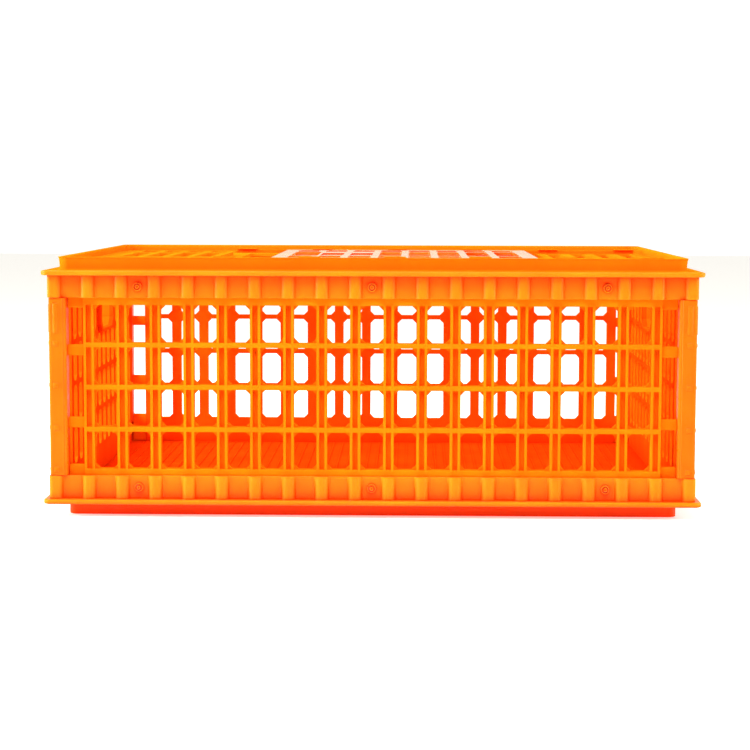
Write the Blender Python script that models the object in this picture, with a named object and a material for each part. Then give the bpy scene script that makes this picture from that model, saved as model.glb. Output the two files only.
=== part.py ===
"""Poultry transport crate, moulded in orange polyethylene and pinned together from its pieces.

Origin: on the ground under the middle of the crate. +X runs along the length, the front faces -Y, +Z is up.
"""

import math

import bmesh
import bpy
from mathutils import Matrix, Vector

MM = 0.001  # every size below is in millimetres

# Plan of the two flanges, and the bays that the ribs divide each side into
FLANGE_LENGTH = 750.0
FLANGE_WIDTH = 550.0
FLANGE_THICKNESS = 5.5
FLANGE_CORNER = 9.0
CORNER_MARGIN = 14.0  # flange edge to the middle of a corner rib
SIDE_BAYS = 19
END_BAYS = 15

# Heights of the stack, from the ground up
SKIRT_HEIGHT = 15.0
BASE_WALL_HEIGHT = 26.5
GRILLE_HEIGHT = 203.5
TOP_WALL_HEIGHT = 25.5
RIM_HEIGHT = 15.0
TOP_PANEL_DROP = 8.0  # rim's edge down to the fixed top
TOP_PANEL_THICKNESS = 4.0

# Ribbed walls
FLANGE_OVERHANG = 6.5  # flange edge to the face of the ribs
RIB_PROUD = 6.0
RIB_WIDTH = 15.0
RIB_DRAFT = 1.2  # how far each flank leans in over the rib's depth
CORNER_ROUND = 4.0
WALL = 3.0
FIT = 0.3  # clearance between pieces that seat on each other

# Stacking skirt under the base, and stacking rim round the top
SKIRT_INSET = 25.5
SKIRT_WALL = 4.0
SKIRT_CORNER = 10.0
RIM_INSET = 17.0
RIM_WALL = 4.0
RIM_CORNER = 12.0
RIM_FLARE = 1.5
RIM_FLARE_HEIGHT = 5.0
LEDGE = 2.5  # how far the top flange covers the panels' inner faces

# Grille panels
PANEL_THICKNESS = 12.0
ROWS = 4
UPRIGHT_WIDTH = 12.0
UPRIGHT_RECESS = 6.0
RECESS_DEPTH = 8.0
BAR_HEIGHT = 5.5
BOTTOM_BAR = 7.2
TOP_BAR = 8.6
OPENING_CHAMFER = 5.5
HAND_HOLD_COLUMNS = 3
HAND_HOLD_CORNER = 12.0

# Tongues at the panels' ends, which seat in the posts
TONGUE_THICKNESS = 3.5
TONGUE_INSET = 3.8  # behind it, to the panel's inner face
TONGUE_HEIGHT = 13.0
TONGUE_SPREAD = 41.5  # from the middle of the grille to the middle of a tongue
STRIP_HEIGHT = 12.0  # how far the panel's plain edges show past the frames beside the grille

# Corner posts
POST_INSET = 1.3  # face of the ribs to the face of a post
POST_WALL = 3.0
POST_ROUND = 2.5
SPIGOT_LENGTH = 15.0

# Locking pins
PIN_HEAD = 10.0
PIN_HEAD_HEIGHT = 2.4
PIN_SHANK = 6.0
PIN_END_MARGIN = 2.0  # shank end to the panel's inner face
PIN_BAYS_IN = 2  # bays between a corner and the first pin
PIN_SIDES = 8

# Fixed top: bars along the depth, the loading hatch and the door's guide rails
TOP_BAR_PITCH = 31.5
TOP_SLOT_WIDTH = 20.0
TOP_SLOT_MARGIN = 12.0
HATCH_LENGTH = 285.0
HATCH_WIDTH = 256.0
RAIL_LEG = 4.0
RAIL_LIP = 7.0
RAIL_TOP = 2.8
RAIL_END_GAP = 12.0
STOP_LENGTH = 120.0
STOP_WIDTH = 4.0

# Sliding door
DOOR_LENGTH = 318.0
DOOR_WIDTH = 320.0
DOOR_THICKNESS = 4.0
DOOR_CORNER = 8.0
DOOR_BORDER = 18.0
DOOR_BARS = 7
DOOR_BAR_WIDTH = 9.0
DOOR_RAIL_WIDTH = 8.0
HAND_HOLE_WIDTH = 33.0
HAND_HOLE_LENGTH = 147.0
PLATE_BARS = 3  # bars that the finger plate takes up, counted from the hand-hole
DOOR_CLOSED_X = -28.0
DOOR_REST_X = 36.0

# Distances in from the flange's edge, and heights, that the pieces share
FACE_IN = FLANGE_OVERHANG
WALL_IN = FACE_IN + RIB_PROUD
CAVITY_IN = WALL_IN + WALL
PANEL_IN = CAVITY_IN + FIT
INSIDE_IN = PANEL_IN + PANEL_THICKNESS
POST_SIZE = INSIDE_IN - FACE_IN - POST_INSET
POST_CENTRE_IN = FACE_IN + POST_INSET + POST_SIZE / 2
SPIGOT = POST_SIZE - 2 * POST_WALL - 2 * FIT
LONG_PITCH = (FLANGE_LENGTH - 2 * CORNER_MARGIN) / SIDE_BAYS
END_PITCH = (FLANGE_WIDTH - 2 * CORNER_MARGIN) / END_BAYS

FLOOR_LOW = SKIRT_HEIGHT
FLOOR_TOP = FLOOR_LOW + FLANGE_THICKNESS
BASE_WALL_TOP = FLOOR_TOP + BASE_WALL_HEIGHT
TOP_WALL_LOW = BASE_WALL_TOP + GRILLE_HEIGHT
TOP_FLANGE_LOW = TOP_WALL_LOW + TOP_WALL_HEIGHT
TOP_FLANGE_TOP = TOP_FLANGE_LOW + FLANGE_THICKNESS
RIM_TOP = TOP_FLANGE_TOP + RIM_HEIGHT
TOP_PANEL_TOP = RIM_TOP - TOP_PANEL_DROP
TOP_PANEL_LOW = TOP_PANEL_TOP - TOP_PANEL_THICKNESS
GRILLE_MIDDLE = (BASE_WALL_TOP + TOP_WALL_LOW) / 2
ROW_PITCH = (GRILLE_HEIGHT - BOTTOM_BAR - TOP_BAR + BAR_HEIGHT) / ROWS
OPENING_HEIGHT = ROW_PITCH - BAR_HEIGHT
TONGUE_HEIGHTS = (GRILLE_MIDDLE - TONGUE_SPREAD, GRILLE_MIDDLE + TONGUE_SPREAD)
PIN_HEIGHTS = (FLOOR_TOP + BASE_WALL_HEIGHT / 2, TOP_WALL_LOW + TOP_WALL_HEIGHT / 2)
PIN_BAYS = (PIN_BAYS_IN, SIDE_BAYS // 2, SIDE_BAYS - 1 - PIN_BAYS_IN)

DOOR_LOW = TOP_PANEL_TOP + FIT
DOOR_TOP = DOOR_LOW + DOOR_THICKNESS
RAIL_INSIDE = DOOR_WIDTH / 2 + FIT
STOP_FACE = DOOR_CLOSED_X - DOOR_LENGTH / 2 - FIT


def half_plan(inset):
    """Half the length and half the width of an outline that lies this far in from the flange's edge."""
    return FLANGE_LENGTH / 2 - inset, FLANGE_WIDTH / 2 - inset


def bay_middle(bay):
    """X of the middle of one of the long side's bays."""
    return (bay + 0.5 - SIDE_BAYS / 2) * LONG_PITCH


def material(name, colour, roughness):
    made = bpy.data.materials.new(name)
    made.use_nodes = True
    shader = made.node_tree.nodes["Principled BSDF"]
    shader.inputs["Base Color"].default_value = (*colour, 1.0)
    shader.inputs["Roughness"].default_value = roughness
    shader.inputs["Metallic"].default_value = 0.0
    made.diffuse_color = (*colour, 1.0)
    return made


def finished(name, bm, surface=None):
    """The object made of a mesh in millimetres, with its faces turned outwards."""
    bmesh.ops.recalc_face_normals(bm, faces=bm.faces)
    bmesh.ops.scale(bm, vec=(MM, MM, MM), verts=bm.verts)
    mesh = bpy.data.meshes.new(name)
    bm.to_mesh(mesh)
    bm.free()
    if surface:
        mesh.materials.append(surface)
    made = bpy.data.objects.new(name, mesh)
    bpy.context.scene.collection.objects.link(made)
    return made


def combine(body, tool, operation):
    """Joins the tool to the body or cuts it out, and keeps the result as the body's own mesh."""
    tool.hide_render = True
    tool.display_type = "WIRE"
    modifier = body.modifiers.new(tool.name, "BOOLEAN")
    modifier.operation = operation
    modifier.solver = "EXACT"
    modifier.object = tool
    graph = bpy.context.evaluated_depsgraph_get()
    result = bpy.data.meshes.new_from_object(body.evaluated_get(graph))
    body.modifiers.clear()
    old_body = body.data
    old_tool = tool.data
    body.data = result
    result.name = body.name
    bpy.data.objects.remove(tool)
    bpy.data.meshes.remove(old_body)
    bpy.data.meshes.remove(old_tool)


def box(bm, x, y, z):
    """A box between two values on each axis."""
    size = (x[1] - x[0], y[1] - y[0], z[1] - z[0])
    middle = (sum(x) / 2, sum(y) / 2, sum(z) / 2)
    bmesh.ops.create_cube(bm, size=1.0, matrix=Matrix.Translation(middle) @ Matrix.Diagonal((*size, 1.0)))


def loft(bm, loops, capped=True):
    """A skin over loops of equal length. Without caps, the last loop joins the first, as in a ring."""
    rings = [[bm.verts.new(point) for point in loop] for loop in loops]
    pairs = list(zip(rings, rings[1:]))
    if capped:
        bm.faces.new(reversed(rings[0]))
        bm.faces.new(rings[-1])
    else:
        pairs.append((rings[-1], rings[0]))
    for lower, upper in pairs:
        for i in range(len(lower)):
            bm.faces.new((lower[i - 1], lower[i], upper[i], upper[i - 1]))


def prism(bm, outline, z):
    loft(bm, [[(px, py, height) for px, py in outline] for height in z])


def rounded_rectangle(half_x, half_y, radius, steps=3):
    """Points of a rectangle with round corners, anticlockwise from the corner at +X, +Y."""
    points = []
    for corner, (sx, sy) in enumerate(((1, 1), (-1, 1), (-1, -1), (1, -1))):
        for step in range(steps + 1):
            angle = math.pi / 2 * (corner + step / steps)
            x = sx * (half_x - radius) + radius * math.cos(angle)
            y = sy * (half_y - radius) + radius * math.sin(angle)
            points.append((x, y))
    return points


def chamfered_rectangle(half_x, half_z, chamfer):
    """Points of a rectangle with cut corners."""
    return rounded_rectangle(half_x, half_z, chamfer, steps=1)


def ring(bm, inset, wall, corner, z, flare=0.0, flare_height=1.0):
    """An upright wall along a rounded rectangle. Its top edge may flare outwards."""

    def loop(inward, height, outward=0.0):
        half_x, half_y = half_plan(inset + inward - outward)
        return [(px, py, height) for px, py in rounded_rectangle(half_x, half_y, corner - inward)]

    levels = [(z[0], 0.0), (z[1], flare)]
    if flare:
        levels.insert(1, (z[1] - flare_height, 0.0))
    outside = [loop(0.0, height, outward) for height, outward in levels]
    inside = [loop(wall, height, outward) for height, outward in reversed(levels)]
    loft(bm, outside + inside, capped=False)


def ribbed_side(half_length, half_depth, pitch, bays):
    """One side of the ribbed outline, as (along, outwards) from one corner block to the next."""
    profile = [
        (-RIB_WIDTH / 2, half_depth),
        (RIB_DRAFT - RIB_WIDTH / 2, half_depth + RIB_PROUD),
        (RIB_WIDTH / 2 - RIB_DRAFT, half_depth + RIB_PROUD),
        (RIB_WIDTH / 2, half_depth),
    ]
    points = []
    for rib in range(bays + 1):
        middle = (rib - bays / 2) * pitch
        if rib == 0:
            chosen = profile[2:]
        elif rib == bays:
            chosen = profile[:2]
        else:
            chosen = profile
        points += [(middle + along, outwards) for along, outwards in chosen]
    corner = half_length + RIB_PROUD
    face = half_depth + RIB_PROUD
    for step in range(3):
        angle = math.pi / 2 * step / 2
        along = corner - CORNER_ROUND + CORNER_ROUND * math.sin(angle)
        outwards = face - CORNER_ROUND + CORNER_ROUND * math.cos(angle)
        points.append((along, outwards))
    return points


def ribbed_outline():
    """Plan of a ribbed wall, anticlockwise: the front, the right end, the rear and the left end."""
    wall_x, wall_y = half_plan(WALL_IN)
    long_side = ribbed_side(wall_x, wall_y, LONG_PITCH, SIDE_BAYS)
    end_side = ribbed_side(wall_y, wall_x, END_PITCH, END_BAYS)
    front = [(along, -outwards) for along, outwards in long_side]
    right = [(outwards, along) for along, outwards in end_side]
    rear = [(-along, outwards) for along, outwards in long_side]
    left = [(-outwards, -along) for along, outwards in end_side]
    return front + right + rear + left


def ribbed_wall(name, z, surface):
    """The ribbed wall alone, hollow in the middle."""
    bm = bmesh.new()
    prism(bm, ribbed_outline(), z)
    wall = finished(name, bm, surface)
    bm = bmesh.new()
    half_x, half_y = half_plan(CAVITY_IN)
    box(bm, (-half_x, half_x), (-half_y, half_y), (z[0] - WALL, z[1] + WALL))
    combine(wall, finished("wall_cavity", bm), "DIFFERENCE")
    return wall


def spigots(z):
    """The four square spigots that the posts sit on."""
    bm = bmesh.new()
    half_x, half_y = half_plan(POST_CENTRE_IN)
    for x in (-half_x, half_x):
        for y in (-half_y, half_y):
            box(bm, (x - SPIGOT / 2, x + SPIGOT / 2), (y - SPIGOT / 2, y + SPIGOT / 2), z)
    return finished("spigots", bm)


def round_bar(bm, radius, start, end):
    """A bar along Y between two points with the same X and Z."""
    length = abs(end.y - start.y)
    along_y = Matrix.Rotation(math.pi / 2, 4, "X")
    flat_on_top = Matrix.Rotation(math.pi / PIN_SIDES, 4, "Z")
    bmesh.ops.create_cone(
        bm,
        cap_ends=True,
        segments=PIN_SIDES,
        radius1=radius,
        radius2=radius,
        depth=length,
        matrix=Matrix.Translation((start + end) / 2) @ along_y @ flat_on_top,
    )


def pin_holes(height, depth):
    """Cutters for the pin holes at one height, on both long sides, this far in and out of the wall's face."""
    bm = bmesh.new()
    wall_y = half_plan(WALL_IN)[1]
    for bay in PIN_BAYS:
        for side in (-1, 1):
            start = Vector((bay_middle(bay), side * (wall_y + depth), height))
            end = Vector((bay_middle(bay), side * (wall_y - depth), height))
            round_bar(bm, PIN_SHANK / 2 + FIT, start, end)
    return finished("pin_holes", bm)


def base_tray(surface):
    """Floor, flange, skirt and ribbed wall in one moulding."""
    middle = (FLOOR_LOW + FLOOR_TOP) / 2
    tray = ribbed_wall("base_tray", (middle, BASE_WALL_TOP), surface)
    bm = bmesh.new()
    half_x, half_y = half_plan(0.0)
    prism(bm, rounded_rectangle(half_x, half_y, FLANGE_CORNER), (FLOOR_LOW, FLOOR_TOP))
    combine(tray, finished("floor", bm), "UNION")
    bm = bmesh.new()
    ring(bm, SKIRT_INSET, SKIRT_WALL, SKIRT_CORNER, (0.0, middle))
    combine(tray, finished("skirt", bm), "UNION")
    combine(tray, spigots((middle, BASE_WALL_TOP + SPIGOT_LENGTH)), "UNION")
    combine(tray, pin_holes(PIN_HEIGHTS[0], 2 * WALL), "DIFFERENCE")
    return tray


def slot_columns(start, end):
    """The middles of the slots that fit between two values of X, spread evenly about their middle."""
    count = int((end - start - TOP_SLOT_WIDTH) // TOP_BAR_PITCH) + 1
    middle = (start + end) / 2
    return [middle + (i - (count - 1) / 2) * TOP_BAR_PITCH for i in range(count)]


def top_openings():
    """The hatch and the slots of the fixed top, as one cutter."""
    bm = bmesh.new()
    depth = (TOP_PANEL_LOW - TOP_PANEL_THICKNESS / 2, TOP_PANEL_TOP + TOP_PANEL_THICKNESS / 2)
    edge_x, edge_y = half_plan(INSIDE_IN + LEDGE + TOP_SLOT_MARGIN / 2)
    hatch_x = (DOOR_CLOSED_X - HATCH_LENGTH / 2, DOOR_CLOSED_X + HATCH_LENGTH / 2)
    box(bm, hatch_x, (-HATCH_WIDTH / 2, HATCH_WIDTH / 2), depth)
    inner_rows = (TOP_SLOT_MARGIN / 2, RAIL_INSIDE - RAIL_LIP - TOP_SLOT_MARGIN / 2)
    outer_rows = (RAIL_INSIDE + RAIL_LEG + TOP_SLOT_MARGIN / 2, edge_y)
    left = slot_columns(-edge_x, STOP_FACE - STOP_WIDTH - TOP_SLOT_MARGIN / 2)
    right = slot_columns(hatch_x[1] + TOP_SLOT_MARGIN, edge_x)
    rows = [(column, inner_rows) for column in left + right]
    rows += [(column, outer_rows) for column in slot_columns(-edge_x, edge_x)]
    for column, (near, far) in rows:
        for y in ((-far, -near), (near, far)):
            box(bm, (column - TOP_SLOT_WIDTH / 2, column + TOP_SLOT_WIDTH / 2), y, depth)
    return finished("top_openings", bm)


def guide_rails():
    """Two angle rails that hold the door down, and the stop that it closes against."""
    bm = bmesh.new()
    root = TOP_PANEL_TOP - TOP_PANEL_THICKNESS / 2
    lip_low = DOOR_TOP + FIT
    end = half_plan(RIM_INSET + RIM_WALL + RAIL_END_GAP)[0]
    for side in (-1, 1):
        section = [
            (RAIL_INSIDE, root),
            (RAIL_INSIDE + RAIL_LEG, root),
            (RAIL_INSIDE + RAIL_LEG, lip_low + RAIL_TOP),
            (RAIL_INSIDE - RAIL_LIP, lip_low + RAIL_TOP),
            (RAIL_INSIDE - RAIL_LIP, lip_low),
            (RAIL_INSIDE, lip_low),
        ]
        loft(bm, [[(x, side * y, z) for y, z in section] for x in (STOP_FACE - STOP_WIDTH, end)])
    stop_y = (-STOP_LENGTH / 2, STOP_LENGTH / 2)
    box(bm, (STOP_FACE - STOP_WIDTH, STOP_FACE), stop_y, (root, DOOR_TOP))
    return finished("guide_rails", bm)


def top_frame(surface):
    """Ribbed wall, flange, stacking rim and slotted top in one moulding."""
    middle = (TOP_FLANGE_LOW + TOP_FLANGE_TOP) / 2
    frame = ribbed_wall("top_frame", (TOP_WALL_LOW, middle), surface)
    bm = bmesh.new()
    outside = rounded_rectangle(*half_plan(0.0), FLANGE_CORNER)
    inside = rounded_rectangle(*half_plan(INSIDE_IN + LEDGE), SKIRT_CORNER)
    section = [
        (outside, TOP_FLANGE_LOW),
        (outside, TOP_FLANGE_TOP),
        (inside, TOP_FLANGE_TOP),
        (inside, TOP_FLANGE_LOW),
    ]
    loft(bm, [[(x, y, z) for x, y in outline] for outline, z in section], capped=False)
    combine(frame, finished("flange", bm), "UNION")
    bm = bmesh.new()
    ring(bm, RIM_INSET, RIM_WALL, RIM_CORNER, (middle, RIM_TOP), RIM_FLARE, RIM_FLARE_HEIGHT)
    combine(frame, finished("rim", bm), "UNION")
    bm = bmesh.new()
    half_x, half_y = half_plan(RIM_INSET + RIM_WALL / 2)
    prism(bm, rounded_rectangle(half_x, half_y, RIM_CORNER - RIM_WALL / 2), (TOP_PANEL_LOW, TOP_PANEL_TOP))
    combine(frame, finished("fixed_top", bm), "UNION")
    combine(frame, top_openings(), "DIFFERENCE")
    combine(frame, guide_rails(), "UNION")
    combine(frame, spigots((TOP_WALL_LOW - SPIGOT_LENGTH, middle)), "UNION")
    combine(frame, pin_holes(PIN_HEIGHTS[1], 2 * WALL), "DIFFERENCE")
    return frame


def upright_prism(bm, outline, y):
    """A prism along Y of an outline in X and Z."""
    loft(bm, [[(px, depth, pz) for px, pz in outline] for depth in y])


def row_low(row):
    """Height of the lower edge of one row of openings."""
    return BASE_WALL_TOP + BOTTOM_BAR + row * ROW_PITCH


def panel_cutters(pitch, columns, hand_hold_columns, plain):
    """The grille's openings and the recesses in its uprights, as one cutter. The outer face lies at Y = 0.

    A long panel has gussets in the openings' corners and bars that cross the recesses. A plain one has none.
    """
    bm = bmesh.new()
    through = (-PANEL_THICKNESS, 2 * PANEL_THICKNESS)
    hand_hold = range((columns - hand_hold_columns) // 2, (columns + hand_hold_columns) // 2)
    half_width = (pitch - UPRIGHT_WIDTH) / 2
    half_height = OPENING_HEIGHT / 2
    for row in range(ROWS):
        middle = row_low(row) + half_height
        for column in range(columns):
            if row == ROWS - 1 and column in hand_hold:
                continue
            x = (column - (columns - 1) / 2) * pitch
            if plain:
                height = (middle - half_height, middle + half_height)
                box(bm, (x - half_width, x + half_width), through, height)
            else:
                outline = chamfered_rectangle(half_width, half_height, OPENING_CHAMFER)
                upright_prism(bm, [(x + px, middle + pz) for px, pz in outline], through)
    if hand_hold:
        half_hold = (len(hand_hold) * pitch - UPRIGHT_WIDTH) / 2
        middle = row_low(ROWS - 1) + half_height
        outline = chamfered_rectangle(half_hold, half_height, HAND_HOLD_CORNER)
        upright_prism(bm, [(px, middle + pz) for px, pz in outline], through)
    for upright in range(columns + 1):
        x = (upright - columns / 2) * pitch
        rows = ROWS - 1 if upright in hand_hold[1:] else ROWS
        lows = [row_low(row) for row in range(rows)]
        spans = [(lows[0], lows[-1] + OPENING_HEIGHT)] if plain else [(z, z + OPENING_HEIGHT) for z in lows]
        for z in spans:
            box(bm, (x - UPRIGHT_RECESS / 2, x + UPRIGHT_RECESS / 2), (-PANEL_THICKNESS, RECESS_DEPTH), z)
    return finished("panel_cutters", bm)


def grille_panel(name, half_length, pitch, bays, hand_hold_columns, surface):
    """A panel with its outer face at Y = 0 and its inner face behind it. A long one has no hand-hold."""
    columns = bays - 2
    long = hand_hold_columns == 0
    low = FLOOR_TOP + FIT
    high = TOP_FLANGE_LOW - FIT
    half_grid = columns / 2 * pitch + UPRIGHT_WIDTH / 2
    bm = bmesh.new()
    box(bm, (-half_grid, half_grid), (0.0, PANEL_THICKNESS), (low, high))
    panel = finished(name, bm, surface)
    tongue_back = PANEL_THICKNESS - TONGUE_INSET
    tongue_y = (tongue_back - TONGUE_THICKNESS, tongue_back)
    edges = [(low + FIT, BASE_WALL_TOP + STRIP_HEIGHT), (TOP_WALL_LOW - STRIP_HEIGHT, high - FIT)]
    tongues = [(z - TONGUE_HEIGHT / 2, z + TONGUE_HEIGHT / 2) for z in TONGUE_HEIGHTS]
    root = half_grid - (UPRIGHT_WIDTH - UPRIGHT_RECESS) / 4
    reaches = [(z, half_length - FIT) for z in edges] + [(z, half_length + POST_WALL - FIT) for z in tongues]
    bm = bmesh.new()
    for side in (-1, 1):
        for z, reach in reaches:
            box(bm, sorted((side * root, side * reach)), tongue_y, z)
    combine(panel, finished("tongues", bm), "UNION")
    combine(panel, panel_cutters(pitch, columns, hand_hold_columns, not long), "DIFFERENCE")
    if long:
        bm = bmesh.new()
        for height in PIN_HEIGHTS:
            for bay in PIN_BAYS:
                start = Vector((bay_middle(bay), -PANEL_THICKNESS, height))
                end = Vector((bay_middle(bay), 2 * PANEL_THICKNESS, height))
                round_bar(bm, PIN_SHANK / 2 + FIT, start, end)
        combine(panel, finished("panel_pin_holes", bm), "DIFFERENCE")
    return panel


def copy_of(original, name):
    made = bpy.data.objects.new(name, original.data)
    bpy.context.scene.collection.objects.link(made)
    return made


def place(made, x, y, turn):
    made.location = (x * MM, y * MM, 0.0)
    made.rotation_euler = (0.0, 0.0, math.radians(turn))


def panels(surface):
    """Four grille panels: two long ones that share a mesh and two end ones that share another."""
    inside_x, inside_y = half_plan(INSIDE_IN)
    panel_x, panel_y = half_plan(PANEL_IN)
    front = grille_panel("front_panel", inside_x, LONG_PITCH, SIDE_BAYS, 0, surface)
    rear = copy_of(front, "rear_panel")
    right = grille_panel("right_end_panel", inside_y, END_PITCH, END_BAYS, HAND_HOLD_COLUMNS, surface)
    left = copy_of(right, "left_end_panel")
    place(front, 0.0, -panel_y, 0.0)
    place(rear, 0.0, panel_y, 180.0)
    place(right, panel_x, 0.0, 90.0)
    place(left, -panel_x, 0.0, -90.0)


def corner_posts(surface):
    """Four hollow posts that share a mesh, each turned so that its slotted faces meet the panels' tongues."""
    half = POST_SIZE / 2
    inner = half - POST_WALL
    bm = bmesh.new()
    prism(bm, rounded_rectangle(half, half, POST_ROUND, steps=1), (BASE_WALL_TOP + FIT, TOP_WALL_LOW - FIT))
    post = finished("right_rear_post", bm, surface)
    bm = bmesh.new()
    box(bm, (-inner, inner), (-inner, inner), (FLOOR_LOW, RIM_TOP))
    combine(post, finished("post_bore", bm), "DIFFERENCE")
    bm = bmesh.new()
    tongue_side = (TONGUE_INSET - half - FIT, TONGUE_INSET + TONGUE_THICKNESS - half + FIT)
    wall_side = (-half - POST_WALL, -inner + POST_WALL / 2)
    for z in TONGUE_HEIGHTS:
        slot_z = (z - TONGUE_HEIGHT / 2 - FIT, z + TONGUE_HEIGHT / 2 + FIT)
        box(bm, wall_side, tongue_side, slot_z)
        box(bm, tongue_side, wall_side, slot_z)
    combine(post, finished("tongue_slots", bm), "DIFFERENCE")
    half_x, half_y = half_plan(POST_CENTRE_IN)
    place(post, half_x, half_y, 0.0)
    place(copy_of(post, "left_rear_post"), -half_x, half_y, 90.0)
    place(copy_of(post, "left_front_post"), -half_x, -half_y, 180.0)
    place(copy_of(post, "right_front_post"), half_x, -half_y, 270.0)


def sliding_door(surface):
    """The barred door, with its origin on its own middle line at rest, so that it slides along X."""
    half_x = DOOR_LENGTH / 2
    half_y = DOOR_WIDTH / 2
    bm = bmesh.new()
    prism(bm, rounded_rectangle(half_x, half_y, DOOR_CORNER), (DOOR_LOW, DOOR_TOP))
    door = finished("sliding_door", bm, surface)
    inside = 2 * (half_x - DOOR_BORDER)
    slot = (inside - DOOR_BARS * DOOR_BAR_WIDTH) / (DOOR_BARS + 1)
    depth = (DOOR_LOW - DOOR_THICKNESS, DOOR_TOP + DOOR_THICKNESS)
    middle_y = (-HAND_HOLE_LENGTH / 2, HAND_HOLE_LENGTH / 2)
    rail_y = HAND_HOLE_LENGTH / 2 + DOOR_RAIL_WIDTH
    bm = bmesh.new()
    left = DOOR_BORDER - half_x
    box(bm, (left, left + HAND_HOLE_WIDTH), middle_y, depth)
    for i in range(DOOR_BARS + 1):
        start = left + i * (slot + DOOR_BAR_WIDTH)
        box(bm, (start, start + slot), (rail_y, half_y - DOOR_BORDER), depth)
        box(bm, (start, start + slot), (DOOR_BORDER - half_y, -rail_y), depth)
        if i >= PLATE_BARS:
            box(bm, (start, start + slot), middle_y, depth)
    combine(door, finished("door_slots", bm), "DIFFERENCE")
    place(door, DOOR_REST_X, 0.0, 0.0)


def first_pin(name, surface):
    """A pin that points along +Y: its head seats on the plane Y = 0 and its shank runs behind it."""
    head = PIN_HEAD / 2
    shank = PIN_SHANK / 2
    tip = WALL + FIT + PANEL_THICKNESS - PIN_END_MARGIN
    profile = [
        (0.0, -PIN_HEAD_HEIGHT),
        (head - PIN_HEAD_HEIGHT / 3, -PIN_HEAD_HEIGHT),
        (head, -PIN_HEAD_HEIGHT / 2),
        (head, -FIT),
        (shank, -FIT),
        (shank, tip),
        (0.0, tip),
    ]
    bm = bmesh.new()
    line = [bm.verts.new((radius, along, 0.0)) for radius, along in profile]
    edges = [bm.edges.new(pair) for pair in zip(line, line[1:])]
    bmesh.ops.rotate(bm, verts=line, matrix=Matrix.Rotation(math.pi / PIN_SIDES, 3, "Y"))
    bmesh.ops.spin(
        bm, geom=line + edges, cent=(0.0, 0.0, 0.0), axis=(0.0, 1.0, 0.0), angle=2 * math.pi, steps=PIN_SIDES
    )
    bmesh.ops.remove_doubles(bm, verts=bm.verts, dist=0.0001)
    return finished(name, bm, surface)


def locking_pins(surface):
    """Three pins on each long side of each frame, which lock the panel's edges in."""
    wall_y = half_plan(WALL_IN)[1]
    first = None
    for level, height in zip(("base", "top"), PIN_HEIGHTS):
        for side, sign, turn in (("front", -1, 0.0), ("rear", 1, 180.0)):
            for number, bay in enumerate(PIN_BAYS, 1):
                name = f"{level}_{side}_pin_{number}"
                pin = copy_of(first, name) if first else first_pin(name, surface)
                first = first or pin
                place(pin, bay_middle(bay), sign * wall_y, turn)
                pin.location.z = height * MM


def main():
    for old in list(bpy.data.objects):
        bpy.data.objects.remove(old)
    base_tray(material("base_orange_polyethylene", (1.0, 0.19, 0.008), 0.35))
    top_frame(material("top_orange_polyethylene", (1.0, 0.20, 0.008), 0.32))
    panels(material("panel_orange_polyethylene", (1.0, 0.22, 0.01), 0.33))
    corner_posts(material("post_orange_polyethylene", (1.0, 0.20, 0.008), 0.35))
    sliding_door(material("door_orange_polyethylene", (1.0, 0.21, 0.01), 0.25))
    locking_pins(material("pin_orange_polyethylene", (1.0, 0.18, 0.008), 0.4))


main()
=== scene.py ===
"""Looks of the poultry transport crate: its moulded pieces, their plastic, the studio and the camera."""

import math

import bmesh
import bpy
from mathutils import Matrix, Vector


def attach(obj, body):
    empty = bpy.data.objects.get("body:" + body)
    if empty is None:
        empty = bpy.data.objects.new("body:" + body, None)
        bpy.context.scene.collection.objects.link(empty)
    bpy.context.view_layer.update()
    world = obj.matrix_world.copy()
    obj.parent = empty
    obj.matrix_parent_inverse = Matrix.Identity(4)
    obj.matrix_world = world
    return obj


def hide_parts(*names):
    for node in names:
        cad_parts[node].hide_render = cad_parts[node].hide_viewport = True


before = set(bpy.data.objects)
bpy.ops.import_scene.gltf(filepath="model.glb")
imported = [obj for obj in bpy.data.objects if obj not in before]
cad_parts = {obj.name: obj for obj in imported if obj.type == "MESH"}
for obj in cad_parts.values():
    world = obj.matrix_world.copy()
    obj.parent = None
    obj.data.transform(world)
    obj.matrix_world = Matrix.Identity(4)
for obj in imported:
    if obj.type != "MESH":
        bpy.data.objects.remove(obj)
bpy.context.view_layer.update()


# Base tray: one injection moulding in orange high-density polyethylene. It has a floor with fine ridges, a
# low wall stiffened by round-edged ribs, a flange all round and, under it, the inset skirt that the crate
# stands on. The panels slide down into its wall and are pinned there.
MM = 0.001  # every size below is in millimetres
HALF_LENGTH = 375.0  # to the flange's edge
HALF_WIDTH = 275.0
FLANGE_CORNER = 9.0
FLANGE_ROUND = 1.7  # radius along the flange's edges
WALL_IN = 12.5  # flange edge to the face of the wall between the ribs
WALL = 3.0
CORNER_MARGIN = 14.0  # flange edge to the middle of a corner rib
SIDE_BAYS = 19
END_BAYS = 15
SIDE_PITCH = 2 * (HALF_LENGTH - CORNER_MARGIN) / SIDE_BAYS
END_PITCH = 2 * (HALF_WIDTH - CORNER_MARGIN) / END_BAYS
RIB_PROUD = 6.0
RIB_WIDTH = 16.5
RIB_DRAFT = 1.8  # how far each flank leans in over the rib's depth
RIB_ROUND = 5.0  # radius along a rib's front edges
RIB_ROOT = 1.1  # radius where a rib meets the wall
RIB_TIP = 1.7  # radius at a rib's free end
CORNER_ROUND = 4.0
INNER_EDGE_ROUND = 0.6
SKIRT_HEIGHT = 15.0
SKIRT_INSET = 25.5
SKIRT_WALL = 4.0
SKIRT_CORNER = 10.0
SKIRT_FOOT_ROUND = 0.8
FLOOR_TOP = 20.5
BASE_WALL_TOP = 47.0
RIDGES_PER_BAY = 3
RIDGE_WIDTH = 2.0
RIDGE_HEIGHT = 0.7
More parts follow.
